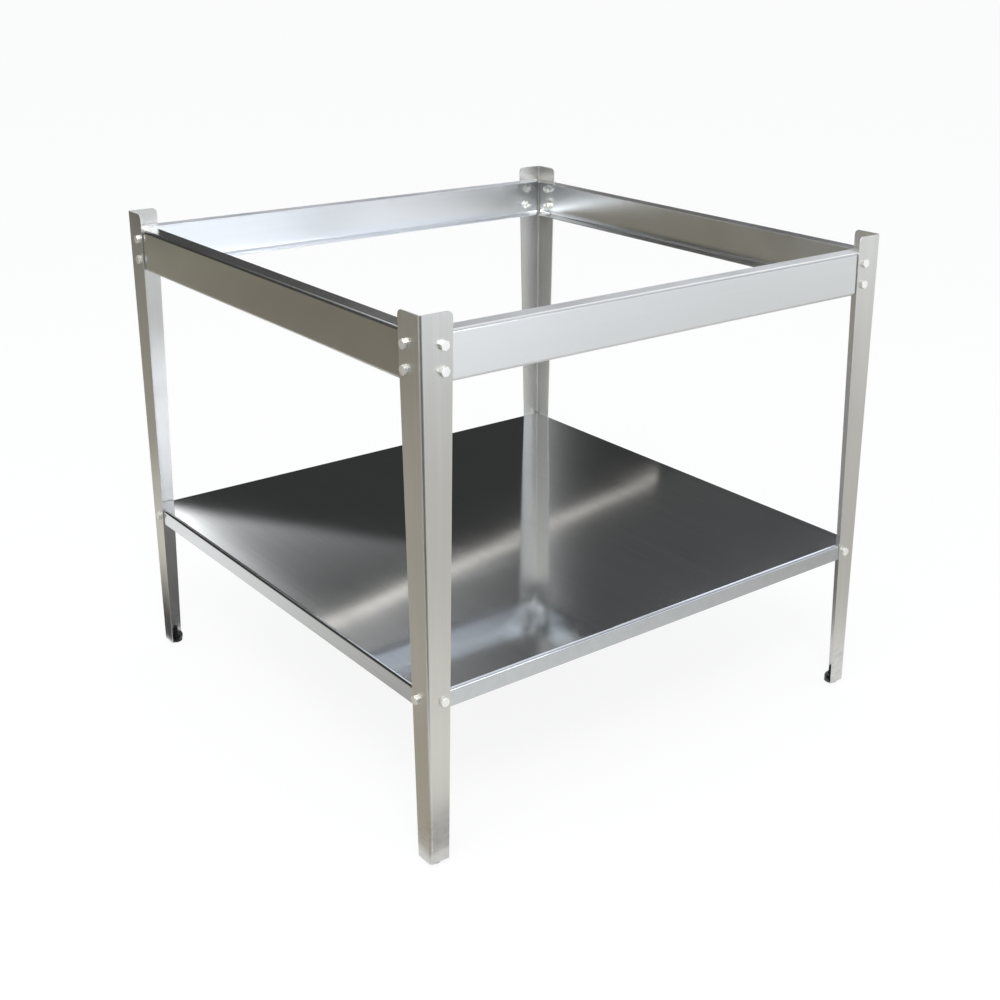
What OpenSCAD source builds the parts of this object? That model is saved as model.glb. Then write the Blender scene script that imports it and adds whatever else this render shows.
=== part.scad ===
// Grill stand of folded stainless sheet: four angle legs, four channel rails round the
// top, one tray shelf low down, hexagon bolts with nuts and washers, and levelling feet.
// Millimetres, +Z up. The origin is on the floor, at the middle of the stand.

/* [Overall] */
// Width over the legs, along X
stand_w = 900; // [500:10:1300]
// Depth over the legs, along Y
stand_d = 900; // [500:10:1300]
// Length of a leg, foot end to tip
leg_h = 815; // [600:5:1000]

/* [Legs] */
// Thickness of the leg's sheet
leg_sheet = 2; // [1.5:0.5:3]
// Width of a leg's flange at its tip
leg_top_w = 52; // [48:1:70]
// Width of a leg's flange at its foot end
leg_foot_w = 32; // [30:1:40]
// Outer radius of the leg's fold
leg_bend_r = 5; // [4:0.5:6]
// Radius of the free corner at the tip
leg_tip_r = 9; // [3:1:14]

/* [Rails] */
// Height that the leg tips stand above the rails
leg_rise = 26; // [15:1:40]
// Height of a rail
rail_h = 70; // [64:1:100]
// Depth of a rail's flanges
rail_flange = 28; // [18:1:50]
// Thickness of the rail's sheet
rail_sheet = 1.5; // [1:0.5:2]
// Outer radius of the rail's folds
rail_bend_r = 4.5; // [3:0.5:6]
// Gap at the mitre between two rails, measured along a rail
mitre_gap = 1.5; // [1:0.5:4]

/* [Shelf] */
// Height of the shelf's face above the legs' foot ends
shelf_up = 272.5; // [200:2.5:450]
// Height of the shelf's skirt, over all
skirt_h = 27.5; // [24:0.5:50]
// Thickness of the shelf's sheet
shelf_sheet = 1.5; // [1:0.5:2]
// Outer radius of the shelf's folds
shelf_bend_r = 4; // [3:0.5:6]
// Length of the relief cut at each corner of the shelf
shelf_relief = 1.5; // [1:0.5:4]

/* [Bolts] */
// Diameter of the bolt shanks
bolt_d = 8; // [6:1:8]
// Length of a bolt below its head
bolt_len = 16; // [15:1:20]
// Width across the flats of heads and nuts
hex_af = 13; // [10:1:14]
// Height of a bolt head
head_h = 5.3; // [4:0.1:6]
// Height of a nut
nut_h = 6.5; // [5:0.1:7]
// Diameter of a washer
washer_d = 16; // [15:1:18]
// Thickness of a washer
washer_t = 1.6; // [1:0.1:2]
// Play in diameter of a bolt in its sheet hole
hole_play = 1; // [0.5:0.1:1.5]
// Play in diameter of a bolt in a washer
washer_play = 0.4; // [0.2:0.1:1]
// Play in diameter of a thread in its nut
thread_play = 0.1; // [0.05:0.05:0.2]
// Distance of the rail bolts from the leg's outer face
rail_bolt_in = 36; // [32:1:38]
// Distance between the two rail bolts of a face
rail_bolt_pitch = 35; // [20:1:40]
// Distance of the shelf bolt from the leg's outer face
shelf_bolt_in = 27; // [26:1:28]

/* [Feet] */
// Diameter of a glide
glide_d = 22; // [20:1:26]
// Height of a glide
glide_h = 6; // [6:0.5:20]
// Diameter of a glide's bearing face
glide_face_d = 18; // [12:1:20]
// Gap between a glide and the plate above it, with the foot screwed in
glide_gap = 0.3; // [0.2:0.1:1]
// Length of the stud above the glide
stud_up = 25; // [20:1:30]
// Length of the stud that is held in the glide
stud_seat = 4.5; // [3:0.5:5]
// Thickness of the foot plate
plate_t = 3; // [2:0.5:5]
// Distance of the foot plate's rounded edge from the flange's free edge
plate_set = 0; // [0:0.5:3]

/* [Hidden] */
$fn = 64;
STEEL = [0.74, 0.75, 0.76];
SHELF_STEEL = [0.62, 0.62, 0.63];
FASTENER_STEEL = [0.82, 0.82, 0.80];
BLACK_PAINT = [0.10, 0.10, 0.10];
BLACK_PLASTIC = [0.06, 0.06, 0.06];
// Length that a cutter stands past the faces that it cuts
over = 1;
// Share of the foot plate's radius at which its stud stands from each flange
plate_share = 0.45;

// A corner: its name, and whether it is mirrored from front left along X and along Y
CORNERS = [
    ["front_left", 0, 0],
    ["front_right", 1, 0],
    ["back_left", 0, 1],
    ["back_right", 1, 1]
];
// A side: its name, whether it runs along Y, and whether it is mirrored to the far side
SIDES = [
    ["front", 0, 0],
    ["back", 0, 1],
    ["left", 1, 0],
    ["right", 1, 1]
];
// The kinds of piece that every corner has
KINDS = [
    "leg", "foot_plate", "foot_nut", "foot_stud", "foot_glide",
    "rail_bolts", "rail_washers", "rail_nuts",
    "shelf_bolts", "shelf_washers", "shelf_nuts"
];

foot_drop = glide_h + glide_gap;
rail_low = leg_h - leg_rise - rail_h;
rail_mid = rail_low + rail_h / 2;
rail_end_in = leg_sheet + rail_bend_r + mitre_gap;
shelf_low = shelf_up - skirt_h;
shelf_mid = shelf_low + skirt_h / 2;
shelf_end_in = leg_sheet + shelf_bend_r + shelf_relief;
plate_w = leg_foot_w - leg_sheet - plate_set;
foot_in = leg_sheet + plate_w * plate_share;
hole_d = bolt_d + hole_play;
taper = atan((leg_top_w - leg_foot_w) / leg_h);

// The quarter ring of a fold, in the corner at the origin
module fold_2d(sheet, bend_r) {
    intersection() {
        square(bend_r);
        translate([bend_r, bend_r]) difference() {
            circle(bend_r);
            circle(bend_r - sheet);
        }
    }
}

// A leg's flange seen square on: a tapered strip with one rounded corner at its tip
module leg_flange_2d() {
    arc_x = leg_top_w - leg_tip_r * (1 + sin(taper)) / cos(taper);
    arc_z = leg_h - leg_tip_r;
    translate([arc_x, arc_z]) circle(leg_tip_r);
    polygon([
        [leg_bend_r, 0],
        [leg_foot_w, 0],
        [arc_x + leg_tip_r * cos(taper), arc_z - leg_tip_r * sin(taper)],
        [arc_x, leg_h],
        [leg_bend_r, leg_h]
    ]);
}

// Stands children, drawn for the front left corner, at corner c
module at_corner(c) {
    mirror([c[1], 0, 0])
        mirror([0, c[2], 0])
            translate([-stand_w / 2, -stand_d / 2, foot_drop])
                children();
}

// Repeats children on both faces of a leg, drawn for the face that looks along -Y
module on_both_faces() {
    children();
    mirror([1, -1, 0]) children();
}

// Puts children on the leg's face, with local +Z pointing out of it
module on_face(inset, height) {
    translate([inset, 0, height]) rotate([90, 0, 0]) children();
}

// The places of the rail bolts and of the shelf bolt at one corner
module at_rail_bolts() {
    on_both_faces()
        for (k = [-1, 1])
            on_face(rail_bolt_in, rail_mid + k * rail_bolt_pitch / 2) children();
}
module at_shelf_bolts() {
    on_both_faces() on_face(shelf_bolt_in, shelf_mid) children();
}

// A through hole for a bolt, long enough for the leg and what is bolted to it
module bolt_hole(sheet) {
    translate([0, 0, -leg_sheet - sheet - over]) cylinder(d = hole_d, h = leg_sheet + sheet + 2 * over);
}

module leg() {
    color(STEEL) difference() {
        union() {
            linear_extrude(leg_h) fold_2d(leg_sheet, leg_bend_r);
            on_both_faces()
                translate([0, leg_sheet, 0]) rotate([90, 0, 0]) linear_extrude(leg_sheet) leg_flange_2d();
        }
        at_rail_bolts() bolt_hole(rail_sheet);
        at_shelf_bolts() bolt_hole(shelf_sheet);
    }
}

module bolt() {
    cylinder(r = hex_af / sqrt(3), h = head_h, $fn = 6);
    translate([0, 0, -bolt_len]) cylinder(d = bolt_d, h = bolt_len);
}
module washer(sheet) {
    translate([0, 0, -leg_sheet - sheet - washer_t]) difference() {
        cylinder(d = washer_d, h = washer_t);
        translate([0, 0, -over]) cylinder(d = bolt_d + washer_play, h = washer_t + 2 * over);
    }
}
module hex_nut() {
    difference() {
        cylinder(r = hex_af / sqrt(3), h = nut_h, $fn = 6);
        translate([0, 0, -over]) cylinder(d = bolt_d + thread_play, h = nut_h + 2 * over);
    }
}
module nut(sheet) {
    translate([0, 0, -leg_sheet - sheet - washer_t - nut_h]) hex_nut();
}

module rail_bolts() {
    color(FASTENER_STEEL) at_rail_bolts() bolt();
}
module rail_washers() {
    color(FASTENER_STEEL) at_rail_bolts() washer(rail_sheet);
}
module rail_nuts() {
    color(FASTENER_STEEL) at_rail_bolts() nut(rail_sheet);
}
module shelf_bolts() {
    color(FASTENER_STEEL) at_shelf_bolts() bolt();
}
module shelf_washers() {
    color(FASTENER_STEEL) at_shelf_bolts() washer(shelf_sheet);
}
module shelf_nuts() {
    color(FASTENER_STEEL) at_shelf_bolts() nut(shelf_sheet);
}

// The quarter-round plate inside a leg's foot end, flush with the flanges' ends
module foot_plate() {
    color(BLACK_PAINT) difference() {
        linear_extrude(plate_t) difference() {
            intersection() {
                translate([leg_sheet, leg_sheet]) circle(plate_w);
                translate([leg_sheet, leg_sheet]) square(plate_w);
            }
            polygon([
                [leg_sheet - over, leg_sheet - over],
                [leg_bend_r + over, leg_sheet - over],
                [leg_sheet - over, leg_bend_r + over]
            ]);
        }
        translate([foot_in, foot_in, -over]) cylinder(d = hole_d, h = plate_t + 2 * over);
    }
}

module foot_nut() {
    color(FASTENER_STEEL) translate([foot_in, foot_in, plate_t]) hex_nut();
}

module foot_stud() {
    color(FASTENER_STEEL)
        translate([foot_in, foot_in, -glide_gap - stud_seat])
            cylinder(d = bolt_d, h = stud_seat + stud_up);
}

// A turned glide: flat bearing face, sloping side, straight rim, blind hole for the stud
module foot_glide() {
    stud_r = (bolt_d + thread_play) / 2;
    color(BLACK_PLASTIC) translate([foot_in, foot_in, -foot_drop]) rotate_extrude() polygon([
        [0, 0],
        [glide_face_d / 2, 0],
        [glide_d / 2, glide_h / 3],
        [glide_d / 2, glide_h],
        [stud_r, glide_h],
        [stud_r, glide_h - stud_seat],
        [0, glide_h - stud_seat]
    ]);
}

// A rail's section, with its web's outer face on the Y axis
module rail_2d() {
    translate([0, rail_bend_r]) square([rail_sheet, rail_h - 2 * rail_bend_r]);
    fold_2d(rail_sheet, rail_bend_r);
    translate([rail_bend_r, 0]) square([rail_flange - rail_bend_r, rail_sheet]);
    translate([0, rail_h]) mirror([0, 1]) {
        fold_2d(rail_sheet, rail_bend_r);
        translate([rail_bend_r, 0]) square([rail_flange - rail_bend_r, rail_sheet]);
    }
}

// What the mitre takes off both flanges at the start of a rail
module mitre_cut() {
    flange_in = leg_sheet + rail_flange + over;
    translate([0, 0, rail_low - over]) linear_extrude(rail_h + 2 * over) polygon([
        [rail_end_in, rail_end_in - mitre_gap],
        [flange_in + mitre_gap, flange_in],
        [rail_end_in - over, flange_in],
        [rail_end_in - over, rail_end_in - mitre_gap]
    ]);
}

// A rail with its legs' outer corners at x = 0 and x = span, and their faces at y = 0
module rail(span) {
    color(STEEL) difference() {
        translate([rail_end_in, leg_sheet, rail_low])
            rotate([90, 0, 90]) linear_extrude(span - 2 * rail_end_in) rail_2d();
        for (far = [0, 1])
            translate([far * span, 0, 0]) mirror([far, 0, 0]) {
                mitre_cut();
                for (k = [-1, 1])
                    on_face(rail_bolt_in, rail_mid + k * rail_bolt_pitch / 2) bolt_hole(rail_sheet);
            }
    }
}

// Places a rail on side s of the stand
module at_side(s) {
    along = s[1] == 1 ? stand_d : stand_w;
    across = s[1] == 1 ? stand_w : stand_d;
    mirror([s[1] * s[2], (1 - s[1]) * s[2], 0])
        mirror([s[1], -s[1], 0])
            translate([-along / 2, -across / 2, foot_drop])
                rail(along);
}

// One side of the shelf: the skirt, its fold and the strip where the face begins
module skirt(span) {
    translate([shelf_end_in, leg_sheet, shelf_up])
        rotate([90, 0, 90]) linear_extrude(span - 2 * shelf_end_in) mirror([0, 1]) {
            fold_2d(shelf_sheet, shelf_bend_r);
            translate([0, shelf_bend_r]) square([shelf_sheet, skirt_h - shelf_bend_r]);
            translate([shelf_bend_r, 0]) square([over, shelf_sheet]);
        }
}

module shelf() {
    face_in = leg_sheet + shelf_bend_r;
    color(SHELF_STEEL) difference() {
        union() {
            translate([face_in - stand_w / 2, face_in - stand_d / 2, foot_drop + shelf_up - shelf_sheet])
                cube([stand_w - 2 * face_in, stand_d - 2 * face_in, shelf_sheet]);
            for (far = [0, 1]) {
                mirror([0, far, 0]) translate([-stand_w / 2, -stand_d / 2, foot_drop]) skirt(stand_w);
                mirror([far, 0, 0]) mirror([1, -1, 0])
                    translate([-stand_d / 2, -stand_w / 2, foot_drop]) skirt(stand_d);
            }
        }
        for (c = CORNERS) at_corner(c) at_shelf_bolts() bolt_hole(shelf_sheet);
    }
}

// Draws one of a corner's pieces by its kind
module corner_piece(kind) {
    if (kind == "leg") leg();
    if (kind == "foot_plate") foot_plate();
    if (kind == "foot_nut") foot_nut();
    if (kind == "foot_stud") foot_stud();
    if (kind == "foot_glide") foot_glide();
    if (kind == "rail_bolts") rail_bolts();
    if (kind == "rail_washers") rail_washers();
    if (kind == "rail_nuts") rail_nuts();
    if (kind == "shelf_bolts") shelf_bolts();
    if (kind == "shelf_washers") shelf_washers();
    if (kind == "shelf_nuts") shelf_nuts();
}

for (c = CORNERS, k = KINDS)
    at_corner(c) corner_piece(k);
for (s = SIDES)
    at_side(s);
shelf();
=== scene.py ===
"""A grill stand of folded and bolted stainless sheet, dressed and lit as in its photograph."""

import math

import bmesh
import bpy
from mathutils import Matrix, Vector


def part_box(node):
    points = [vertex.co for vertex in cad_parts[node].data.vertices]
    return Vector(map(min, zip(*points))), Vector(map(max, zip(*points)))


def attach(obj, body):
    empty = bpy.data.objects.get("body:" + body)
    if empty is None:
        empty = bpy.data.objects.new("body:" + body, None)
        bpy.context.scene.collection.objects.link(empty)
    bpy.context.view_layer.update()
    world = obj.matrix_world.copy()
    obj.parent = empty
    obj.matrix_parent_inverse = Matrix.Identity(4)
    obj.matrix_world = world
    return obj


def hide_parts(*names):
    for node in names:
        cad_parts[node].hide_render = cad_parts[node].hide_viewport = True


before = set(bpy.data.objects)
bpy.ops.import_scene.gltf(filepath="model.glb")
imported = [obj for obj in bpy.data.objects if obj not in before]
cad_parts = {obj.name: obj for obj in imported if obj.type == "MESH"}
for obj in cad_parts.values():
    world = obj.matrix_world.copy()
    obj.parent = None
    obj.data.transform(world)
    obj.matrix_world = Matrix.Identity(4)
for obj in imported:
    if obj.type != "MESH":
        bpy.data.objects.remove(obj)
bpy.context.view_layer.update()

bl_info = {
    "name": "Grill stand",
    "version": (1, 0, 0),
    "blender": (4, 5, 0),
    "location": "View3D > Sidebar > Grill stand",
    "description": "Folded stainless legs, rails and shelf with their bolts and levelling feet",
    "category": "Object",
}

MM = 0.001
# Places closer than this count as one
NEAR = 0.2 * MM
QUARTER = math.radians(90)
# Stands a flat sheet up, so that it faces the front
UPRIGHT = (QUARTER, 0, 0)
FOLD_STEPS = 8
# Edges sharper than the first are rounded, and those sharper than the second are shaded sharp
BEVEL_FROM, SMOOTH_TO = math.radians(50), math.radians(48)

# The corners in turn round the stand: the quarter turns that bring a piece there from the
# front left corner, and the sides of the stand that the corner is on
CORNERS = {
    "front_left": (0, -1, -1),
    "front_right": (1, 1, -1),
    "back_right": (2, 1, 1),
    "back_left": (3, -1, 1),
}
# The sides in turn, with the quarter turns that bring a piece there from the front
SIDES = {"front": 0, "right": 1, "back": 2, "left": 3}

# Where the frame has the front left leg, the front rail and the shelf
LEG_LOW, LEG_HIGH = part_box("leg_front_left")
RAIL_LOW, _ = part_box("rail_front")
SHELF_LOW, SHELF_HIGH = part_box("shelf")


def linear(code):
    """An sRGB hex colour as linear red, green and blue."""
    parts = [int(code[i : i + 2], 16) / 255 for i in (0, 2, 4)]
    return tuple(p / 12.92 if p <= 0.04045 else ((p + 0.055) / 1.055) ** 2.4 for p in parts)


def length(name, description, default):
    """A size in metres for the panel."""
    return bpy.props.FloatProperty(
        name=name,
        description=description,
        default=default,
        precision=5,
        unit="LENGTH",
        subtype="DISTANCE",
    )


def colour(name, description, code):
    """A colour for the panel."""
    return bpy.props.FloatVectorProperty(
        name=name,
        description=description,
        default=linear(code),
        min=0,
        max=1,
        size=3,
        subtype="COLOR",
    )


class StandSizes(bpy.types.PropertyGroup):
    leg_sheet: length("Leg sheet", "Thickness of the legs' sheet", RAIL_LOW.y - LEG_LOW.y)
    leg_top: length("Leg width at the tip", "Width of a leg's flange at its tip", 52 * MM)
    leg_foot: length("Leg width at the foot", "Width of a leg's flange at its foot end", 32 * MM)
    leg_fold: length("Leg fold", "Outer radius of the legs' fold", 5 * MM)
    leg_tip: length("Leg tip radius", "Radius of the free corner at a leg's tip", 9 * MM)
    rail_sheet: length("Rail sheet", "Thickness of the rails' sheet", 1.5 * MM)
    rail_fold: length("Rail fold", "Outer radius of the rails' folds", 4.5 * MM)
    shelf_sheet: length("Shelf sheet", "Thickness of the shelf's sheet", 1.5 * MM)
    shelf_fold: length("Shelf fold", "Outer radius of the shelf's folds", 4 * MM)
    shelf_relief: length("Shelf relief", "Cut away beside each fold at a shelf's corner", 1.5 * MM)
    deburr: length("Deburred edge", "Width of the rounding on a cut edge of sheet", 0.3 * MM)
    bolt_d: length("Bolt diameter", "Outer diameter of the bolts' threads", 8 * MM)
    bolt_pitch: length("Thread pitch", "Distance from one thread to the next", 1.25 * MM)
    hex_flats: length("Hexagon", "Width across the flats of heads and nuts", 13 * MM)
    head_h: length("Head height", "Height of a bolt's head", 5.3 * MM)
    bolt_len: length("Bolt length", "Length of a bolt below its head", 16 * MM)
    nut_h: length("Nut height", "Height of a nut", 6.5 * MM)
    washer_d: length("Washer diameter", "Outer diameter of a washer", 16 * MM)
    washer_t: length("Washer thickness", "Thickness of a washer", 1.6 * MM)
    hole_d: length("Bolt hole", "Diameter of the holes in the sheets", 9 * MM)
    glide_face: length("Glide face", "Diameter of a glide's bearing face", 18 * MM)
    stud_seat: length("Stud seat", "Length of a foot's stud inside its glide", 4.5 * MM)


class StandColours(bpy.types.PropertyGroup):
    leg: colour("Legs", "Brushed stainless of the legs", "D0CFCB")
    rail: colour("Rails", "Satin stainless of the rails", "D9DAD9")
    # The back rail's colour is a lighter copy of the rails' steel: painted light for the brighter light
    # on its inner side
    back_rail: colour(
        "Back rail",
        "Satin stainless of the back rail, which shows its brighter inner side",
        "F0F3F6",
    )
    shelf: colour("Shelf", "Satin stainless of the shelf", "C5C9CD")
    fastener: colour("Fasteners", "Bright stainless of bolts, washers and nuts", "F0F0EC")
    plate: colour("Foot plates", "Black coating of the plates, weld nuts and studs", "17181A")
    glide: colour("Glides", "Black plastic of the glides", "101112")
    floor: colour("Floor", "Pale studio floor", "F2F2F1")


def sizes():
    return bpy.context.scene.stand_sizes


def colours():
    return bpy.context.scene.stand_colours


# Shaping with Blender's own tools


def name_it(name):
    """Names what the last tool left active, with its mesh."""
    piece = bpy.context.object
    piece.name = piece.data.name = name
    return piece


def only(*pieces):
    """Selects these pieces alone, the first of them active."""
    bpy.ops.object.select_all(action="DESELECT")
    for piece in pieces:
        piece.select_set(True)
    bpy.context.view_layer.objects.active = pieces[0]


def freeze(piece):
    """Moves a piece's place and turn into its mesh."""
    only(piece)
    bpy.ops.object.transform_apply(location=True, rotation=True, scale=True)


def flat_sheet(name, width, height, centre, turn=(0, 0, 0)):
    """A flat rectangle of sheet metal."""
    bpy.ops.object.select_all(action="DESELECT")
    bpy.ops.mesh.primitive_plane_add(size=1, location=centre, rotation=turn)
    piece = name_it(name)
    piece.scale = (width, height, 1)
    freeze(piece)
    return piece


def middle(item):
    """The middle of a vertex, edge or face."""
    corners = [item] if isinstance(item, bmesh.types.BMVert) else item.verts
    return sum((v.co for v in corners), Vector()) / len(corners)


def pick(kind, test):
    """In edit mode, selects the vertices, edges or faces whose middle passes the test."""
    bpy.ops.mesh.select_all(action="DESELECT")
    bpy.ops.mesh.select_mode(type=kind)
    mesh = bmesh.from_edit_mesh(bpy.context.object.data)
    for item in {"VERT": mesh.verts, "EDGE": mesh.edges, "FACE": mesh.faces}[kind]:
        if test(middle(item)):
            item.select_set(True)
    mesh.select_flush_mode()
    bmesh.update_edit_mesh(bpy.context.object.data)


def at(value, place):
    return abs(value - place) < NEAR


def fold(centre, axis, angle, flat):
    """Folds the selected edge of a sheet round a bend's centre, and runs it on flat."""
    # Spin turns the other way from a rotation about the same axis
    bpy.ops.mesh.spin(steps=FOLD_STEPS, angle=-angle, center=centre, axis=axis)
    bpy.ops.mesh.extrude_region_move(TRANSFORM_OT_translate={"value": flat})


def face_away(inside):
    """Turns an open sheet's faces away from a point inside it."""
    bpy.ops.mesh.select_all(action="SELECT")
    bpy.ops.mesh.normals_make_consistent(inside=False)
    mesh = bmesh.from_edit_mesh(bpy.context.object.data)
    inside = Vector(inside)
    if sum(f.calc_area() * (f.calc_center_median() - inside).dot(f.normal) for f in mesh.faces) < 0:
        bpy.ops.mesh.flip_normals()


def modify(piece, kind, **settings):
    """Adds a modifier, sets it and applies it."""
    only(piece)
    bpy.ops.object.modifier_add(type=kind)
    modifier = piece.modifiers[-1]
    for key, value in settings.items():
        setattr(modifier, key, value)
    bpy.ops.object.modifier_apply(modifier=modifier.name)


def thicken(piece, sheet):
    """Gives a folded sheet its thickness, inwards from its outer face."""
    modify(piece, "SOLIDIFY", thickness=sheet, offset=-1, use_even_offset=True)


def cut(piece, tool, operation="DIFFERENCE"):
    """Cuts a tool's shape out of a piece, or keeps what they share, and takes the tool away."""
    modify(piece, "BOOLEAN", operation=operation, object=tool, solver="EXACT")
    bpy.data.objects.remove(tool)


def finish_edges(piece, width):
    """Rounds sharp edges a little and smooths the shading, with large faces kept flat."""
    if width:
        limit = {"limit_method": "ANGLE", "angle_limit": BEVEL_FROM}
        modify(piece, "BEVEL", width=width, segments=2, **limit)
    only(piece)
    bpy.ops.object.shade_smooth_by_angle(angle=SMOOTH_TO)
    modify(piece, "WEIGHTED_NORMAL", keep_sharp=True)


def turned(name, outline, steps=32):
    """A body turned about the Z axis from an outline of (radius, height), its ends closed."""
    (radius, height), *rest = outline
    bpy.ops.object.select_all(action="DESELECT")
    bpy.ops.mesh.primitive_circle_add(vertices=steps, radius=radius, location=(0, 0, height))
    piece = name_it(name)
    freeze(piece)
    bpy.ops.object.mode_set(mode="EDIT")
    bpy.ops.mesh.select_all(action="SELECT")
    for new_radius, new_height in rest:
        rise = (0, 0, new_height - height)
        bpy.ops.mesh.extrude_edges_move(TRANSFORM_OT_translate={"value": rise})
        share = new_radius / radius
        bpy.ops.transform.resize(value=(share, share, 1), center_override=(0, 0, new_height))
        radius, height = new_radius, new_height
    bpy.ops.mesh.select_all(action="SELECT")
    bpy.ops.mesh.remove_doubles(threshold=0.002 * MM)
    bpy.ops.mesh.fill_holes(sides=0)
    bpy.ops.mesh.select_all(action="SELECT")
    bpy.ops.mesh.normals_make_consistent(inside=False)
    bpy.ops.object.mode_set(mode="OBJECT")
    return piece


def joined(name, pieces):
    """Joins pieces into one."""
    only(*pieces)
    bpy.ops.object.join()
    return name_it(name)


def copied(piece, name, matrix):
    """A copy of a piece with its own mesh, moved by a matrix."""
    copy = piece.copy()
    copy.data = piece.data.copy()
    copy.name = copy.data.name = name
    bpy.context.scene.collection.objects.link(copy)
    copy.data.transform(matrix)
    return copy


def quarter_turns(count):
    return Matrix.Rotation(math.radians(90 * count), 4, "Z")


def placed(piece, name, node, body, finish):
    """Hands a finished piece over: its name, finish, body, and the node that it stands for."""
    piece.name = piece.data.name = name
    piece.data.materials.clear()
    piece.data.materials.append(finish)
    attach(piece, body)
    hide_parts(node)


# Where things go


def corner_matrix(corner):
    """Brings a piece drawn for the front left corner to a corner.

    The piece is drawn with that leg's outer fold at the origin."""
    turns, side_x, side_y = CORNERS[corner]
    low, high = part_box(f"leg_{corner}")
    place = Vector((low.x if side_x < 0 else high.x, low.y if side_y < 0 else high.y, 0))
    return Matrix.Translation(place) @ quarter_turns(turns)


def bolt_matrices(kind):
    """The places of one corner's rail or shelf bolts, with +Z out of the leg's face."""
    low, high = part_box(f"{kind}_bolts_front_left")
    inset = high.x - LEG_LOW.x - sizes().hex_flats / math.sqrt(3)
    reach = (high.z - low.z - sizes().hex_flats) / 2
    heights = [(low.z + high.z) / 2 + k * reach for k in ((-1, 1) if reach > NEAR else (0,))]
    out = Matrix.Rotation(math.radians(90), 4, "X")
    for height in heights:
        yield Matrix.Translation((inset, 0, height)) @ out
        yield Matrix.Translation((0, inset, height)) @ quarter_turns(-1) @ out


def all_bolts(kind):
    """The places of every rail or shelf bolt of the stand."""
    return [corner_matrix(corner) @ place for corner in CORNERS for place in bolt_matrices(kind)]


def drill(piece, *kinds):
    """Drills the bolt holes of these kinds that a piece has."""
    low, high = [
        Vector(f(v.co[i] for v in piece.data.vertices) for i in range(3)) for f in (min, max)
    ]
    beside, through = 5 * MM, 16 * MM
    tools = []
    bpy.ops.object.select_all(action="DESELECT")
    for kind in kinds:
        for place in all_bolts(kind):
            spot = place.translation
            if all(low[i] - beside < spot[i] < high[i] + beside for i in range(3)):
                bpy.ops.mesh.primitive_cylinder_add(
                    vertices=32, radius=sizes().hole_d / 2, depth=through
                )
                tool = bpy.context.object
                tool.data.transform(place)
                tools.append(tool)
    cut(piece, joined("drill", tools))


# Materials

RANGE, MATH, MIX = "ShaderNodeMapRange", "ShaderNodeMath", "ShaderNodeMix"
VECTOR, BUMP = "ShaderNodeVectorMath", "ShaderNodeBump"
PRINCIPLED, OUTPUT = "ShaderNodeBsdfPrincipled", "ShaderNodeOutputMaterial"
# Most of a noise's values lie between these
MOSTLY = {"From Min": 0.25, "From Max": 0.75}


def add(tree, kind, inputs=(), **settings):
    """Adds a node with its settings, fills its sockets with values or links, gives its outputs."""
    made = tree.nodes.new(kind)
    for key, value in settings.items():
        setattr(made, key, value)
    for socket, value in dict(inputs).items():
        if isinstance(value, bpy.types.NodeSocket):
            tree.links.new(value, made.inputs[socket])
        else:
            made.inputs[socket].default_value = value
    return made.outputs


def new_material(name):
    """An empty material, with its node tree."""
    material = bpy.data.materials.new(name)
    material.use_nodes = True
    material.node_tree.nodes.clear()
    return material, material.node_tree


def streaks(tree, pattern_scale, detail=2.0):
    """Noise drawn out by a scale for each axis, in cycles per metre, on Object coordinates."""
    where = add(tree, "ShaderNodeTexCoord")["Object"]
    stretched = add(tree, VECTOR, {0: where, 1: pattern_scale}, operation="MULTIPLY")[0]
    return add(tree, "ShaderNodeTexNoise", {"Vector": stretched, "Scale": 1.0, "Detail": detail})[0]


def places(tree):
    """A piece's or card's x, y and z."""
    return add(tree, "ShaderNodeSeparateXYZ", {0: add(tree, "ShaderNodeTexCoord")["Object"]})


def blotched_low_end(tree, tint):
    """Faint bluish blots mottling the low end of each leg: full below 60 mm, gone above 100 mm."""
    blots = streaks(tree, [60.0, 60.0, 110.0], 3.0)
    fade_top, fade_end = 100 * MM, 60 * MM
    height = places(tree)[2]
    low = add(tree, RANGE, {"Value": height, "From Min": fade_top, "From Max": fade_end})[0]
    # Blots where the noise is high, at most 0.28 of the way to their own colour
    blot_amount = add(
        tree,
        RANGE,
        {"Value": blots, "From Min": 0.42, "From Max": 0.62, "To Min": 0.0, "To Max": 0.28},
    )[0]
    share = add(tree, MATH, {0: low, 1: blot_amount}, operation="MULTIPLY")[0]
    return add(tree, MIX, {0: share, 6: tint, 7: (*linear("989CA8"), 1)}, data_type="RGBA")[2]


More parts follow.
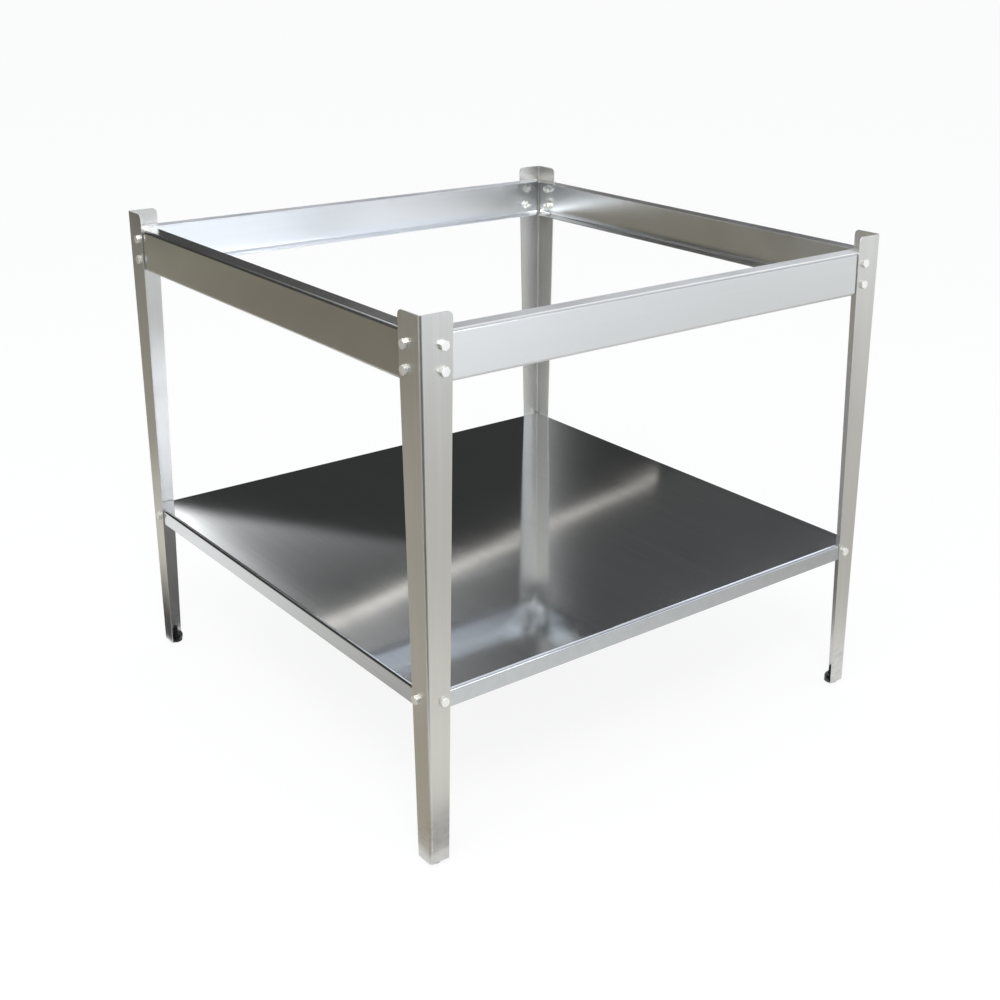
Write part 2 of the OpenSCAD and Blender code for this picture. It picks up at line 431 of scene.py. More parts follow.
def brushed_steel(name, shade, grain, rough, spread, depth, show, line, low_blots=False):
    """Brushed stainless sheet: hair lines along the grain, broad streaks, a slightly uneven sheet.

    The belt's real scratches are about 0.1 mm apart, too fine to show, so the lines are drawn
    coarser: one line wide across the grain, 90 times as long along it. They differ in shade by
    the share show and are depth deep. The broad streaks are 7 times as wide and 3 times as long."""
    material, tree = new_material(name)
    across, along = 1 / line, 1 / (line * 90)
    hair = streaks(tree, [along if grain[i] else across for i in range(3)])
    broad = streaks(tree, [along / 3 if grain[i] else across / 7 for i in range(3)])
    cloud = streaks(tree, [11.0] * 3, 3.0)
    sheet = streaks(tree, [4.0] * 3, 1.0)
    lines = add(tree, MATH, {0: hair, 1: broad}, operation="ADD")[0]
    shading = add(
        tree,
        RANGE,
        {"Value": lines, "From Min": 0.6, "From Max": 1.4, "To Min": 1 - show, "To Max": 1 + show},
    )[0]
    tint = add(
        tree,
        MIX,
        {0: 1.0, 6: (*shade, 1), 7: shading},
        data_type="RGBA",
        blend_type="MULTIPLY",
        clamp_result=True,
    )[2]
    if low_blots:
        tint = blotched_low_end(tree, tint)
    patchy = add(
        tree, RANGE, {"Value": cloud, **MOSTLY, "To Min": rough * 0.9, "To Max": rough * 1.1}
    )[0]
    normal = add(tree, "ShaderNodeNewGeometry")["Normal"]
    tangent = add(tree, VECTOR, {0: grain, 1: normal}, operation="CROSS_PRODUCT")[0]
    uneven = add(tree, BUMP, {"Height": sheet, "Strength": 1.0, "Distance": 0.25 * MM})[0]
    scored = add(
        tree, BUMP, {"Height": hair, "Strength": 1.0, "Distance": depth, "Normal": uneven}
    )[0]
    steel = add(
        tree,
        PRINCIPLED,
        {
            "Base Color": tint,
            "Metallic": 1.0,
            "Roughness": patchy,
            "Anisotropic": spread,
            "Tangent": tangent,
            "Normal": scored,
        },
    )[0]
    add(tree, OUTPUT, {"Surface": steel})
    return material


def bright_stainless():
    """Bright cold-formed stainless of bolts, washers and nuts.

    To the eye it is pale and fairly dull beside the sheet, with faint tool marks."""
    name = "bright_cold_formed_stainless"
    if name in bpy.data.materials:
        return bpy.data.materials[name]
    material, tree = new_material(name)
    marks = streaks(tree, [900.0] * 3, 2.0)
    dull = add(tree, RANGE, {"Value": marks, **MOSTLY, "To Min": 0.44, "To Max": 0.6})[0]
    scored = add(tree, BUMP, {"Height": marks, "Strength": 1.0, "Distance": 0.02 * MM})[0]
    shade = (*colours().fastener, 1)
    steel = add(
        tree,
        PRINCIPLED,
        {"Base Color": shade, "Metallic": 1.0, "Roughness": dull, "Normal": scored},
    )[0]
    add(tree, OUTPUT, {"Surface": steel})
    return material


def black_finish(name, shade, rough, grit, depth):
    """A black non-metal surface with a fine even texture: coated steel or moulded plastic."""
    if name in bpy.data.materials:
        return bpy.data.materials[name]
    material, tree = new_material(name)
    grain = streaks(tree, [1 / grit] * 3, 3.0)
    worn = streaks(tree, [140.0] * 3, 3.0)
    spots = add(tree, RANGE, {"Value": worn, **MOSTLY, "To Min": 0.7, "To Max": 1.6})[0]
    tint = add(
        tree,
        MIX,
        {0: 1.0, 6: (*shade, 1), 7: spots},
        data_type="RGBA",
        blend_type="MULTIPLY",
    )[2]
    sheen = add(
        tree, RANGE, {"Value": grain, **MOSTLY, "To Min": rough - 0.08, "To Max": rough + 0.08}
    )[0]
    pitted = add(tree, BUMP, {"Height": grain, "Strength": 1.0, "Distance": depth})[0]
    surface = add(tree, PRINCIPLED, {"Base Color": tint, "Roughness": sheen, "Normal": pitted})[0]
    add(tree, OUTPUT, {"Surface": surface})
    return material


def black_coating():
    """Thin black coating over the welded foot plates, their nuts and the studs.

    To the eye it is dark, with a soft sheen that shows the thread and the hexagon."""
    return black_finish(
        "black_coated_steel", colours().plate, rough=0.42, grit=1.2 * MM, depth=0.02 * MM
    )


# Pieces


class STAND_OT_legs(bpy.types.Operator):
    """Folds the four tapered angle legs from brushed sheet"""

    bl_idname = "stand.legs"
    bl_label = "Legs"

    def execute(self, context):
        s = sizes()
        bottom, tip = LEG_LOW.z, LEG_HIGH.z
        height = tip - bottom
        face = s.leg_top - s.leg_fold
        centre = (s.leg_fold + face / 2, 0, bottom + height / 2)
        leg = flat_sheet("leg", face, height, centre, UPRIGHT)
        bpy.ops.object.mode_set(mode="EDIT")
        pick("EDGE", lambda m: at(m.x, s.leg_fold))
        fold((s.leg_fold, s.leg_fold, 0), (0, 0, 1), -QUARTER, (0, face, 0))
        for axis in (0, 1):
            pick("VERT", lambda m: at(m[axis], s.leg_top) and at(m.z, bottom))
            slide = [0, 0, 0]
            slide[axis] = s.leg_foot - s.leg_top
            bpy.ops.transform.translate(value=slide)
        pick("VERT", lambda m: at(m.z, tip) and (at(m.x, s.leg_top) or at(m.y, s.leg_top)))
        bpy.ops.mesh.bevel(offset=s.leg_tip, segments=8, affect="VERTICES")
        face_away((s.leg_foot, s.leg_foot, height / 2))
        bpy.ops.object.mode_set(mode="OBJECT")
        thicken(leg, s.leg_sheet)
        # Upright hair lines, which smear what the legs mirror sideways: to the eye a matt brushed
        # steel with soft upright bands, and no clear reflection
        finish = brushed_steel(
            "brushed_304_sheet_upright_grain",
            colours().leg,
            grain=(0, 0, 1),
            rough=0.36,
            spread=0.5,
            depth=0.003 * MM,
            show=0.04,
            line=2.4 * MM,
            # Faint bluish blots mottling the low end of each leg
            low_blots=True,
        )
        for corner in CORNERS:
            piece = copied(leg, f"folded_leg_{corner}", corner_matrix(corner))
            drill(piece, "rail", "shelf")
            finish_edges(piece, s.deburr)
            placed(piece, f"folded_leg_{corner}", f"leg_{corner}", "frame", finish)
        bpy.data.objects.remove(leg)
        return {"FINISHED"}


class STAND_OT_rails(bpy.types.Operator):
    """Folds the four channel rails with their mitred flanges"""

    bl_idname = "stand.rails"
    bl_label = "Rails"

    def execute(self, context):
        s = sizes()
        bend = s.rail_fold
        for side, turns in SIDES.items():
            low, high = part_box(f"rail_{side}")
            size = high - low
            span, depth = (size.x, size.y) if turns % 2 == 0 else (size.y, size.x)
            rail = flat_sheet("rail", span, size.z - 2 * bend, (0, 0, size.z / 2), UPRIGHT)
            bpy.ops.object.mode_set(mode="EDIT")
            for edge, way in ((size.z - bend, -1), (bend, 1)):
                pick("EDGE", lambda m: at(m.z, edge) and at(m.y, 0))
                fold((0, bend, edge), (1, 0, 0), way * QUARTER, (0, depth - bend, 0))
            for end in (-1, 1):
                pick("VERT", lambda m: at(m.y, depth) and at(m.x, end * span / 2))
                bpy.ops.transform.translate(value=(-end * (depth - bend), 0, 0))
            face_away((0, depth / 2, size.z / 2))
            bpy.ops.object.mode_set(mode="OBJECT")
            thicken(rail, s.rail_sheet)
            place = (low + high) / 2
            place[1 - turns % 2] = {0: low.y, 1: high.x, 2: high.y, 3: low.x}[turns]
            place.z = low.z
            rail.data.transform(Matrix.Translation(place) @ quarter_turns(turns))
            drill(rail, "rail")
            finish_edges(rail, s.deburr)
            grain = (1, 0, 0) if turns % 2 == 0 else (0, 1, 0)
            # The side rails' finish is finer, so they mirror the dark wall more clearly. On the
            # others, thin wavy lines showed in the reflections at a roughness of 0.28
            rough, spread = (0.31, 0.75) if turns % 2 == 0 else (0.2, 0.3)
            # The back rail takes the lighter colour, which is painted light for the brighter light on
            # its inner side
            shade = colours().back_rail if side == "back" else colours().rail
            # To the eye a smooth satin, which mirrors light and dark with blurred edges and has
            # hardly any line of its own
            finish = brushed_steel(
                f"satin_304_sheet_{side}_rail_grain",
                shade,
                grain,
                rough,
                spread,
                depth=0.0005 * MM,
                show=0.015,
                line=3.2 * MM,
            )
            placed(rail, f"folded_rail_{side}", f"rail_{side}", "frame", finish)
        return {"FINISHED"}


class STAND_OT_shelf(bpy.types.Operator):
    """Folds the tray shelf with its four skirts"""

    bl_idname = "stand.shelf"
    bl_label = "Shelf"

    def execute(self, context):
        s = sizes()
        size = SHELF_HIGH - SHELF_LOW
        centre = (SHELF_LOW + SHELF_HIGH) / 2
        bend, relief, top = s.shelf_fold, s.shelf_relief, SHELF_HIGH.z
        inset = bend + relief
        middle_top = (centre.x, centre.y, top)
        shelf = flat_sheet("shelf", size.x - 2 * inset, size.y - 2 * inset, middle_top)
        bpy.ops.object.mode_set(mode="EDIT")
        for axis, way in ((0, -1), (0, 1), (1, -1), (1, 1)):
            edge = centre[axis] + way * (size[axis] / 2 - inset)
            pick("EDGE", lambda m: at(m[axis], edge) and at(m[1 - axis], centre[1 - axis]))
            step = [0, 0, 0]
            step[axis] = way * relief
            bpy.ops.mesh.extrude_region_move(TRANSFORM_OT_translate={"value": step})
            pivot = [0, 0, top - bend]
            pivot[axis] = centre[axis] + way * (size[axis] / 2 - bend)
            turn_axis = (0, 1, 0) if axis == 0 else (1, 0, 0)
            angle = way * (QUARTER if axis == 0 else -QUARTER)
            fold(pivot, turn_axis, angle, (0, 0, bend - size.z))
        face_away((centre.x, centre.y, SHELF_LOW.z - size.z))
        bpy.ops.object.mode_set(mode="OBJECT")
        thicken(shelf, s.shelf_sheet)
        drill(shelf, "shelf")
        finish_edges(shelf, s.deburr)
        # To the eye a dark mirror with nearly sharp edges in it, faintly lined front to back
        finish = brushed_steel(
            "satin_304_shelf_sheet",
            colours().shelf,
            grain=(0, 1, 0),
            rough=0.07,
            spread=0.3,
            depth=0.0003 * MM,
            show=0.05,
            line=2.4 * MM,
        )
        placed(shelf, "folded_shelf", "shelf", "frame", finish)
        return {"FINISHED"}


def hexagon(name, height, chamfers):
    """A hexagon bar from z 0 to a height, with the turned chamfer of a head or nut at its ends."""
    s = sizes()
    corner = s.hex_flats / math.sqrt(3)
    # The flat disc at an end is 95% as wide as the hexagon, and the chamfer falls from it by 30°
    flat, slope = 0.475 * s.hex_flats, math.tan(math.radians(30))
    bpy.ops.object.select_all(action="DESELECT")
    bpy.ops.mesh.primitive_cylinder_add(
        vertices=6,
        radius=corner,
        depth=height,
        location=(0, 0, height / 2),
        rotation=(0, 0, math.radians(30)),
    )
    bar = name_it(name)
    freeze(bar)
    wide = corner * 1.01
    drop = (wide - flat) * slope
    past = 0.5 * MM
    outline = [(flat - past / slope, height + past), (wide, height - drop)]
    outline += [(wide, drop), (flat - past / slope, -past)] if chamfers == 2 else [(wide, -past)]
    cut(bar, turned("chamfer", outline, 48), "INTERSECT")
    return bar


def threaded(name, radius, top, bottom, plain):
    """A rod from top down to bottom, threaded below its plain length, with a chamfered end."""
    pitch = sizes().bolt_pitch
    # A metric thread's depth, in pitches, with each turn drawn as a ring of its own
    root = radius - 0.61 * pitch
    turns = int((top - plain - bottom) / pitch - 0.7)
    outline = [(radius * 0.97, top), (radius * 0.97, bottom + (turns + 0.7) * pitch)]
    for n in range(turns, 0, -1):
        start = bottom + (n - 0.3) * pitch
        outline += [
            (root, start + pitch * 0.5),
            (radius, start + pitch * 0.1),
            (radius, start - pitch * 0.02),
        ]
    outline += [(root, bottom + 0.3 * pitch), (root - 0.2 * pitch, bottom)]
    return turned(name, outline, 24)


def fasteners(kind, template, drop, turn_step):
    """Copies a fastener to each of a corner's bolts, and to every corner.

    Each copy is turned differently, by a number of steps in degrees, as hands leave them."""
    for count, corner in enumerate(CORNERS):
        copies = []
        for n, place in enumerate(bolt_matrices(kind.split("_")[0])):
            turn = Matrix.Rotation(math.radians(turn_step * (n * n + 3 * count + n)), 4, "Z")
            where = corner_matrix(corner) @ place @ Matrix.Translation((0, 0, drop)) @ turn
            copies.append(copied(template, "fastener", where))
        yield corner, joined("fasteners", copies)


def depth_of(kind):
    """How far a kind of fastener's outer end lies inside the leg's face."""
    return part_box(f"{kind}_front_left")[0].y - LEG_LOW.y


class STAND_OT_bolts(bpy.types.Operator):
    """Makes the hexagon bolts of the rails and of the shelf"""

    bl_idname = "stand.bolts"
    bl_label = "Bolts"

    def execute(self, context):
        s = sizes()
        head = hexagon("head", s.head_h, 1)
        finish_edges(head, 0.25 * MM)
        shank = threaded("shank", s.bolt_d / 2, 0.5 * MM, -s.bolt_len, 3 * MM)
        finish_edges(shank, 0)
        bolt = joined("bolt", [head, shank])
        finish = bright_stainless()
        for kind in ("rail_bolts", "shelf_bolts"):
            for corner, group in fasteners(kind, bolt, drop=0, turn_step=17):
                node = f"{kind}_{corner}"
                placed(group, f"hexagon_{node}", node, "frame", finish)
        bpy.data.objects.remove(bolt)
        return {"FINISHED"}


class STAND_OT_nuts(bpy.types.Operator):
    """Makes the washers and nuts inside the legs, and the nuts welded on the foot plates"""

    bl_idname = "stand.nuts"
    bl_label = "Washers and nuts"

    def execute(self, context):
        s = sizes()
        bore, rim = s.bolt_d / 2 + 0.15 * MM, 0.25 * MM
        half, thick = s.washer_d / 2, s.washer_t
        washer_outline = [
            (bore, -rim),
            (bore + rim, 0),
            (half - rim, 0),
            (half, -rim),
            (half, rim - thick),
            (half - rim, -thick),
            (bore + rim, -thick),
            (bore, rim - thick),
            (bore, -rim),
        ]
        washer = turned("washer", washer_outline)
        finish_edges(washer, 0)
        nut = hexagon("nut", s.nut_h, 2)
        mouth = bore * 1.12
        bore_outline = [
            (mouth, s.nut_h + rim),
            (mouth, s.nut_h),
            (bore, s.nut_h - 2 * rim),
            (bore, 2 * rim),
            (mouth, 0),
            (mouth, -rim),
        ]
        cut(nut, turned("bore", bore_outline))
        nut.data.transform(Matrix.Translation((0, 0, -s.nut_h)))
        finish_edges(nut, 0.15 * MM)
        finish = bright_stainless()
        for what, template in (("washers", washer), ("nuts", nut)):
            for kind in (f"rail_{what}", f"shelf_{what}"):
                drop = -depth_of(kind)
                for corner, group in fasteners(kind, template, drop, turn_step=23):
                    node = f"{kind}_{corner}"
                    placed(group, f"steel_{node}", node, "frame", finish)
        coating = black_coating()
        for n, corner in enumerate(CORNERS):
            low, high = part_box(f"foot_nut_{corner}")
            place = Vector(((low.x + high.x) / 2, (low.y + high.y) / 2, high.z))
            turn = Matrix.Rotation(math.radians(19 * n), 4, "Z")
            piece = copied(nut, "weld_nut", Matrix.Translation(place) @ turn)
            node = f"foot_nut_{corner}"
            placed(piece, f"weld_nut_{corner}", node, "frame", coating)
        for template in (washer, nut):
            bpy.data.objects.remove(template)
        return {"FINISHED"}


class STAND_OT_feet(bpy.types.Operator):
    """Makes the levelling feet, glides on threaded studs, and coats the plates that carry them"""

    bl_idname = "stand.feet"
    bl_label = "Feet"

    def execute(self, context):
        s = sizes()
        # Moulded nylon: to the eye duller and blacker than the coated steel above it
        plastic = black_finish(
            "moulded_black_nylon", colours().glide, rough=0.5, grit=0.8 * MM, depth=0.03 * MM
        )
        coating = black_coating()
        for corner in CORNERS:
            low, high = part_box(f"foot_glide_{corner}")
            stud_low, stud_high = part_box(f"foot_stud_{corner}")
            centre = Vector(((low.x + high.x) / 2, (low.y + high.y) / 2, 0))
            rim, face, height = (high.x - low.x) / 2, s.glide_face / 2, high.z - low.z
            seat = s.bolt_d / 2 + 0.05 * MM
            soft = 0.5 * MM
            outline = [
                (face - soft, 0),
                (face, soft * 0.4),
                (rim - soft * 0.3, height / 3 - soft),
                (rim, height / 3),
                (rim, height - 2 * soft),
                (rim - soft * 0.5, height - soft * 0.6),
                (rim - 2 * soft, height),
                (seat, height),
                (seat, height - s.stud_seat),
            ]
            glide = turned("glide", outline, 48)
            finish_edges(glide, 0)
            glide.data.transform(Matrix.Translation(centre + Vector((0, 0, low.z))))
            body, node = f"foot_{corner}", f"foot_glide_{corner}"
            placed(glide, f"moulded_glide_{corner}", node, body, plastic)
            stud = threaded("stud", s.bolt_d / 2, stud_high.z, stud_low.z, 0)
            stud.data.transform(Matrix.Translation(centre))
            finish_edges(stud, 0)
            node = f"foot_stud_{corner}"
            placed(stud, f"threaded_stud_{corner}", node, body, coating)
            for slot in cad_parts[f"foot_plate_{corner}"].material_slots:
                slot.material = coating
        return {"FINISHED"}


# The studio

# Where the upright cards stand, behind the stand and in front of it
BACK_Y, FRONT_Y = 4.3, -6.2
# The line of the strip lamp on the back wall: its height at x 0, and how it falls to the right
STRIP_HEIGHT, STRIP_SLOPE = 3.083, 0.1265
WARM_WHITE = (1, 0.99, 0.96, 1)


def hidden_from_camera(piece):
    """Lets only reflections see a studio card."""
    piece.visible_camera = piece.visible_diffuse = piece.visible_shadow = False
    piece.visible_transmission = piece.visible_volume_scatter = False


def card(name, width, height, place, turn, light, clear=False):
    """A studio card that the metal mirrors and that the camera doesn't see.

    Its light is a function that gives the card's colour and strength in its node tree. A clear
    card adds its light to what is behind it."""
    piece = flat_sheet(name, width, height, place, turn)
    material, tree = new_material(name)
    shade, strength = light(tree)
    glow = add(tree, "ShaderNodeEmission", {"Color": shade, "Strength": strength})[0]
    if clear:
        through = add(tree, "ShaderNodeBsdfTransparent")[0]
        glow = add(tree, "ShaderNodeAddShader", {0: glow, 1: through})[0]
    add(tree, OUTPUT, {"Surface": glow})
    piece.data.materials.append(material)
    hidden_from_camera(piece)


def steady(code, strength=1.0):
    """A card's light of one colour and strength."""
    return lambda tree: ((*linear(code), 1), strength)


def fading(axis, start, end):
    """A card's light that goes along an axis from one (place, colour, strength) to another."""

    def light(tree):
        along = places(tree)[axis]
        share = add(tree, RANGE, {"Value": along, "From Min": start[0], "From Max": end[0]})[0]
        shades = [
            (*(part * strength for part in linear(code)), 1) for _, code, strength in (start, end)
        ]
        return add(tree, MIX, {0: share, 6: shades[0], 7: shades[1]}, data_type="RGBA")[2], 1.0

    return light


def wall_light(tree):
    """A dim wall, hazy above its strip lamp on the left, with a glow that fades to the right."""
    faint, glow_x = 0.05, 3.5
    x, _, z = places(tree)
    strip = add(tree, MATH, {0: x, 1: -STRIP_SLOPE, 2: STRIP_HEIGHT}, operation="MULTIPLY_ADD")[0]
    over = add(tree, MATH, {0: z, 1: strip}, operation="SUBTRACT")[0]
    above = add(tree, RANGE, {"Value": over, "From Min": -0.03, "From Max": 0.05})[0]
    left = add(tree, RANGE, {"Value": x, "From Min": 3.9, "From Max": 2.3})[0]
    haze = add(tree, MATH, {0: left, 1: 1.5}, operation="POWER")[0]
    ends = add(
        tree, RANGE, {"Value": x, "From Min": 0.7, "From Max": 1.0, "To Min": 0.1, "To Max": 0.33}
    )[0]
    high = add(tree, MATH, {0: haze, 1: ends, 2: faint}, operation="MULTIPLY_ADD")[0]
    right = add(tree, RANGE, {"Value": x, "From Min": glow_x, "From Max": glow_x + 0.06})[0]
    # The glow falls by a factor of e every 125 mm
    past = add(
        tree, RANGE, {"Value": x, "From Min": glow_x, "From Max": glow_x + 5.0, "To Max": -40.0}
    )[0]
    glow = add(tree, MATH, {0: past}, operation="EXPONENT")[0]
    low = add(
        tree, RANGE, {"Value": z, "From Min": 1.9, "From Max": 1.6, "To Min": 0.0, "To Max": 0.2}
    )[0]
    beside = add(tree, MATH, {0: glow, 1: 0.5, 2: low}, operation="MULTIPLY_ADD")[0]
    dim = add(tree, MATH, {0: above, 1: high, 2: faint}, operation="MULTIPLY_ADD")[0]
    strength = add(tree, MATH, {0: right, 1: beside, 2: dim}, operation="MULTIPLY_ADD")[0]
    return WARM_WHITE, strength


def fan_light(tree):
    """A fan of light from the shelf's back left corner, brightest along the shelf's left edge.

    The card lies level above the shelf, and the photograph's camera sees each of its points at
    one point of the shelf, so the fan is right from that side alone."""
    x, y, _ = places(tree)
    # The shelf's point for a card's point, from the shelf's left edge and from its middle
    scale = 0.692
    edge = add(tree, MATH, {0: x, 1: scale, 2: 0.016}, operation="MULTIPLY_ADD")[0]
    away = add(tree, MATH, {0: y, 1: scale, 2: -0.5855}, operation="MULTIPLY_ADD")[0]
    bound = add(tree, MATH, {0: away, 1: 0.66, 2: edge}, operation="MULTIPLY_ADD")[0]
    inside = add(tree, RANGE, {"Value": bound, "From Min": 0.31, "From Max": 0.26})[0]
    # The light falls by a factor of e in 25 mm from the left edge, down to 22% of it, and in
    # 200 mm towards the front
    falling = add(tree, MATH, {0: edge, 1: -40.0}, operation="MULTIPLY")[0]
    near = add(tree, MATH, {0: falling}, operation="EXPONENT")[0]
    rim = add(tree, MATH, {0: near, 1: 0.78, 2: 0.22}, operation="MULTIPLY_ADD")[0]
    rising = add(tree, MATH, {0: away, 1: 4.9}, operation="MULTIPLY")[0]
    far = add(tree, MATH, {0: rising}, operation="EXPONENT")[0]
    fan = add(tree, MATH, {0: rim, 1: far}, operation="MULTIPLY")[0]
    lit = add(tree, MATH, {0: fan, 1: inside}, operation="MULTIPLY")[0]
    return WARM_WHITE, add(tree, MATH, {0: lit, 1: 0.62}, operation="MULTIPLY")[0]


def lamp(name, place, power):
    """A soft square lamp of 1.8 m, aimed at the middle of the stand."""
    light = bpy.data.lights.new(name, "AREA")
    light.energy, light.size = power, 1.8
    holder = bpy.data.objects.new(name, light)
    holder.location = place
    aim = Vector((0, 0, 0.5)) - Vector(place)
    holder.rotation_euler = aim.to_track_quat("-Z", "Y").to_euler()
    bpy.context.scene.collection.objects.link(holder)


class STAND_OT_stage(bpy.types.Operator):
    """Sets up the pale floor, the studio's cards and lamps, and the camera"""

    bl_idname = "stand.stage"
    bl_label = "Stage"

    def execute(self, context):
        scene = context.scene
        scene.view_settings.view_transform = "Standard"
        self.floor()
        self.background(scene)
        self.cards()
        lamp("key_lamp", (-2.2, -3.2, 4.6), power=150)
        # High enough that the shelf doesn't mirror it into a view from the side or behind
        lamp("fill_lamp", (-3.2, -1.4, 4.4), power=50)
        self.camera(scene)
        return {"FINISHED"}

    def floor(self):
        """A matt pale floor, to the eye nearly white, with the stand's soft shadow on it."""
        floor = flat_sheet("studio_floor", 60, 60, (0, 0, 0))
        material, tree = new_material("pale_studio_floor")
        plain = add(tree, "ShaderNodeBsdfDiffuse", {"Color": (*colours().floor, 1)})[0]
        white = add(tree, "ShaderNodeEmission", {"Color": (1, 1, 1, 1), "Strength": 1.0})[0]
        share = add(tree, MATH, {0: self.seen_rays(tree), 1: 0.88}, operation="MULTIPLY")[0]
        mixed = add(tree, "ShaderNodeMixShader", {0: share, 1: plain, 2: white})[0]
        add(tree, OUTPUT, {"Surface": mixed})
        floor.data.materials.append(material)

    def seen_rays(self, tree):
        """One for the rays that see the background: the camera's, and those of metal and glass."""
        path = add(tree, "ShaderNodeLightPath")
        kinds = ("Camera", "Glossy", "Transmission")
        camera, glossy, clear = (path[f"Is {kind} Ray"] for kind in kinds)
        some = add(tree, MATH, {0: camera, 1: glossy}, operation="MAXIMUM")[0]
        return add(tree, MATH, {0: some, 1: clear}, operation="MAXIMUM")[0]

    def background(self, scene):
        world = bpy.data.worlds.new("pale_studio")
        scene.world = world
        world.use_nodes = True
        tree = world.node_tree
        tree.nodes.clear()
        kind, daylight = "ShaderNodeBackground", (0.9, 0.93, 1.0, 1)
        plain = add(tree, kind, {"Color": daylight, "Strength": 0.85})[0]
        white = add(tree, kind, {"Color": (1, 1, 1, 1), "Strength": 1.0})[0]
        mixed = add(tree, "ShaderNodeMixShader", {0: self.seen_rays(tree), 1: plain, 2: white})[0]
        add(tree, "ShaderNodeOutputWorld", {"Surface": mixed})

    def cards(self):
        """The room that the sheet mirrors, which the photograph doesn't show.

        Places, colours and strengths are set so that the mirrored tones fit the photograph's."""
        # Behind the stand: a dim wall with a strip lamp, and sky and a dull wall over it
        card("dim_wall_card", 14.0, 3.75, (2.0, BACK_Y, 1.875), UPRIGHT, wall_light)
        strip = fading(0, (2.3, "FFF7EC", 1.5), (4.4, "FFF7EC", 0.8))
        tilted = (QUARTER, math.atan(STRIP_SLOPE), 0)
        card("strip_lamp_card", 2.6, 0.07, (3.15, BACK_Y - 0.03, 2.684), tilted, strip)
        sky = fading(0, (0.2, "F4F7FF", 1.9), (3.2, "F4F7FF", 1.5))
        card("left_sky_card", 3.0, 5.0, (1.7, BACK_Y, 6.25), UPRIGHT, sky)
        sky = fading(0, (3.2, "F0F5FF", 1.3), (6.5, "F4F7FF", 2.4))
        card("right_sky_card", 9.0, 5.0, (7.7, BACK_Y, 6.25), UPRIGHT, sky)
        card("high_left_wall_card", 8.2, 4.0, (-3.9, BACK_Y, 5.75), UPRIGHT, steady("5A5A58"))
        # In front of the stand: a bright horizon, low enough that the shelf doesn't mirror it into
        # a camera behind the stand, a paler one above it, and a window and sky before them
        horizon = fading(2, (0.7, "EAF2FF", 2.3), (1.1, "EAF2FF", 1.2))
        card("bright_horizon_card", 12.0, 1.1, (3.0, FRONT_Y, 0.55), UPRIGHT, horizon)
        pale = fading(2, (1.1, "EAF2FF", 1.2), (3.3, "C4C6CC", 0.85))
        card("pale_horizon_card", 12.0, 2.2, (3.0, FRONT_Y, 2.2), UPRIGHT, pale)
        window, sky = steady("F8FAFF", 8.0), steady("F8FAFF", 1.6)
        card("bright_window_card", 3.0, 0.8, (2.3, FRONT_Y + 0.1, 2.2), UPRIGHT, window)
        card("behind_sky_card", 5.0, 0.8, (-4.5, FRONT_Y + 0.1, 3.0), UPRIGHT, sky)
        dark = steady("303230")
        card("behind_low_card", 5.4, 2.4, (-5.3, FRONT_Y + 0.15, 1.2), UPRIGHT, dark)
        card("dull_high_card", 9.0, 4.0, (6.5, FRONT_Y, 5.25), UPRIGHT, steady("787880"))
        # At the sides, haze
        for side, place in (("left", -9.0), ("right", 12.5)):
            haze = fading(2, (0.4, "BABABA", 1.0), (8.4, "FFFFFF", 1.0))
            card(f"{side}_haze_card", 10.5, 8.0, (place, -0.9, 4.4), (QUARTER, 0, QUARTER), haze)
        card("shelf_fan_card", 0.65, 0.92, (0.302, 1.06, 0.72), (0, 0, 0), fan_light, clear=True)
        self.floor_cards()

    def floor_cards(self):
        """The ground round the stand, as the sheet mirrors it."""
        # Name, ends along x, ends along y, and one colour or a fade's axis and its two ends
        patches = (
            ("far_left", (-6.2, -2.1), (1.42, 4.27), 1, (1.9, "767166", 1), (3.7, "8E8A7A", 1)),
            ("back_left", (-2.1, -1.5), (1.42, 4.27), 1, (2.8, "7A7468", 1), (3.9, "A39F8E", 1)),
            ("mid_left", (-1.5, 0.2), (1.42, 4.27), "B4B0A6"),
            ("near_left", (-3.07, -0.47), (-0.58, 1.42), 1, (-0.3, "BEB7A8", 1), (0.2, "ADA89B", 1)),
            ("bright_left", (-0.82, -0.62), (-0.1, 1.42), 1, (0, "CAC7C0", 1), (0.8, "FFFEFA", 1.15)),
            # The next three patches are painted shadow on the mirrored ground: beside the back left
            # foot, under the stand, and along its front feet
            ("dark_foot", (-0.57, -0.455), (0.42, 0.75), "48484A"),
            ("shaded", (-0.44, 0.44), (-0.3, 0.42), "595959"),
            ("foot", (-0.44, 0.3), (-0.57, -0.475), "C4C3C0"),
            ("close_right", (-0.44, 0.9), (-1.1, -0.57), 0, (-0.3, "FFFEFA", 1), (0.9, "CCCAC6", 1)),
            ("near_right", (-0.44, 0.9), (-2.43, -1.1), "D8D5D0"),
            ("side_right", (0.9, 2.46), (-2.43, -0.475), "D4D1CC"),
            ("mid_right", (-0.5, 6.5), (-2.85, -2.43), 0, (1.1, "E8F0F8", 0.88), (3.1, "F4F0E4", 0.42)),
            ("far_right", (-0.5, 6.5), (-6.0, -2.85), 0, (1.0, "F2F9FF", 1.26), (3.4, "F4F6F4", 1.1)),
            ("front", (-5.6, -0.5), (-6.0, -0.8), "3C3E3C"),
            ("back_right", (0.3, 2.6), (0.6, 2.6), "5E5E60"),
        )
        for name, across, away, *tones in patches:
            light = fading(*tones) if len(tones) > 1 else steady(*tones)
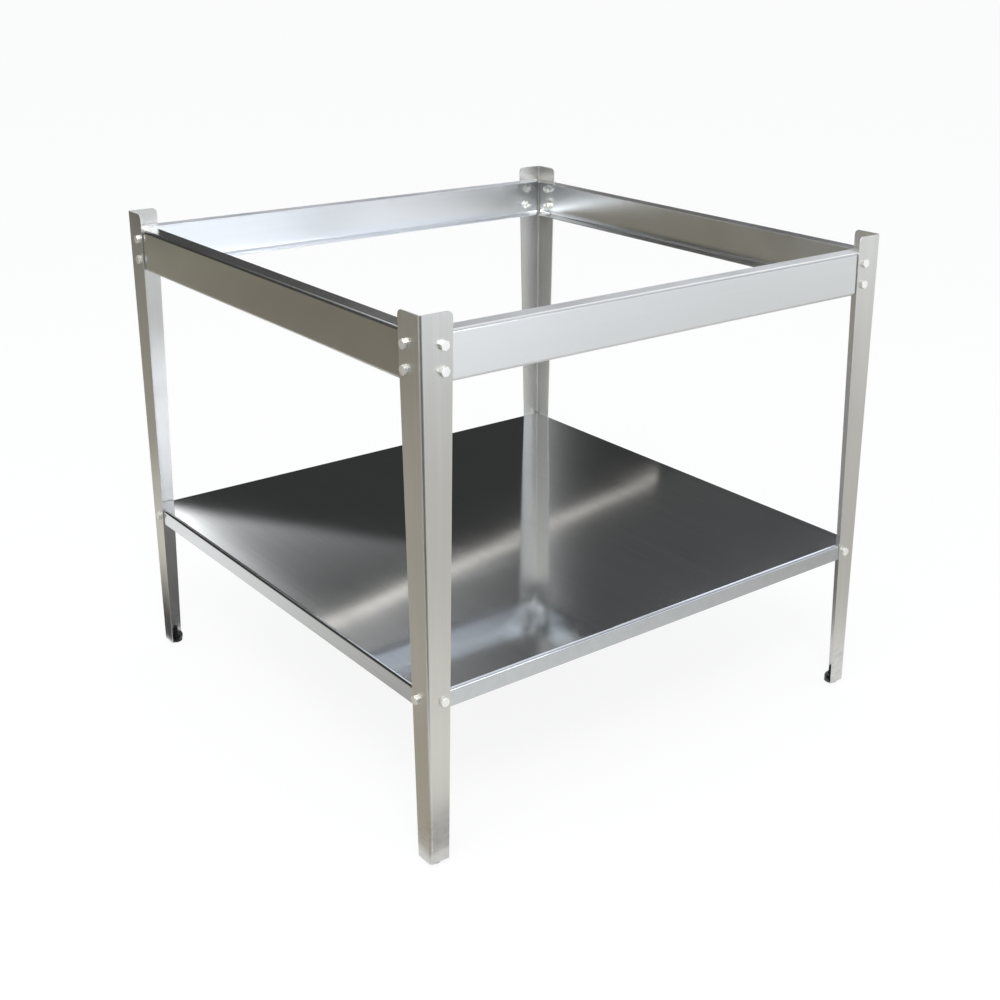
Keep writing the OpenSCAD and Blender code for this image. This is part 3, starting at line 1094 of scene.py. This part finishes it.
            # The bright and dark patches lie on the others
            height = (6 if name.startswith(("bright", "dark")) else 4) * MM
            name += "_floor_card"
            centre = (sum(across) / 2, sum(away) / 2, height)
            card(name, across[1] - across[0], away[1] - away[0], centre, (0, 0, 0), light)

    def camera(self, scene):
        """The photograph's camera, solved from the stand's own edges, corners and bolt heads.

        The shifts take the photograph as a crop."""
        data = bpy.data.cameras.new("photo_camera")
        data.sensor_width = 36
        data.lens = 51.2207
        data.shift_x, data.shift_y = -0.05407, -0.06843
        holder = bpy.data.objects.new("photo_camera", data)
        holder.location = (-1.4074, -1.9036, 1.2694)
        heading, dip, roll = 0.68055, 0.33303, 0.01076
        turn = Matrix.Rotation(-heading, 3, "Z") @ Matrix.Rotation(math.radians(90) - dip, 3, "X")
        holder.rotation_euler = (turn @ Matrix.Rotation(roll, 3, "Z")).to_euler()
        scene.collection.objects.link(holder)
        scene.camera = holder


class STAND_PT_panel(bpy.types.Panel):
    bl_idname = "STAND_PT_panel"
    bl_label = "Grill stand"
    bl_space_type = "VIEW_3D"
    bl_region_type = "UI"
    bl_category = "Grill stand"

    def draw(self, context):
        for group in (context.scene.stand_sizes, context.scene.stand_colours):
            for key in group.__annotations__:
                self.layout.prop(group, key)
        for operator in OPERATORS:
            self.layout.operator(operator.bl_idname)


OPERATORS = (
    STAND_OT_legs,
    STAND_OT_rails,
    STAND_OT_shelf,
    STAND_OT_bolts,
    STAND_OT_nuts,
    STAND_OT_feet,
    STAND_OT_stage,
)
CLASSES = (StandSizes, StandColours, *OPERATORS, STAND_PT_panel)


def register():
    for item in CLASSES:
        bpy.utils.register_class(item)
    bpy.types.Scene.stand_sizes = bpy.props.PointerProperty(type=StandSizes)
    bpy.types.Scene.stand_colours = bpy.props.PointerProperty(type=StandColours)


def unregister():
    del bpy.types.Scene.stand_colours
    del bpy.types.Scene.stand_sizes
    for item in reversed(CLASSES):
        bpy.utils.unregister_class(item)


def main():
    register()
    bpy.ops.stand.legs()
    bpy.ops.stand.rails()
    bpy.ops.stand.shelf()
    bpy.ops.stand.bolts()
    bpy.ops.stand.nuts()
    bpy.ops.stand.feet()
    bpy.ops.stand.stage()


if __name__ == "__main__":
    main()
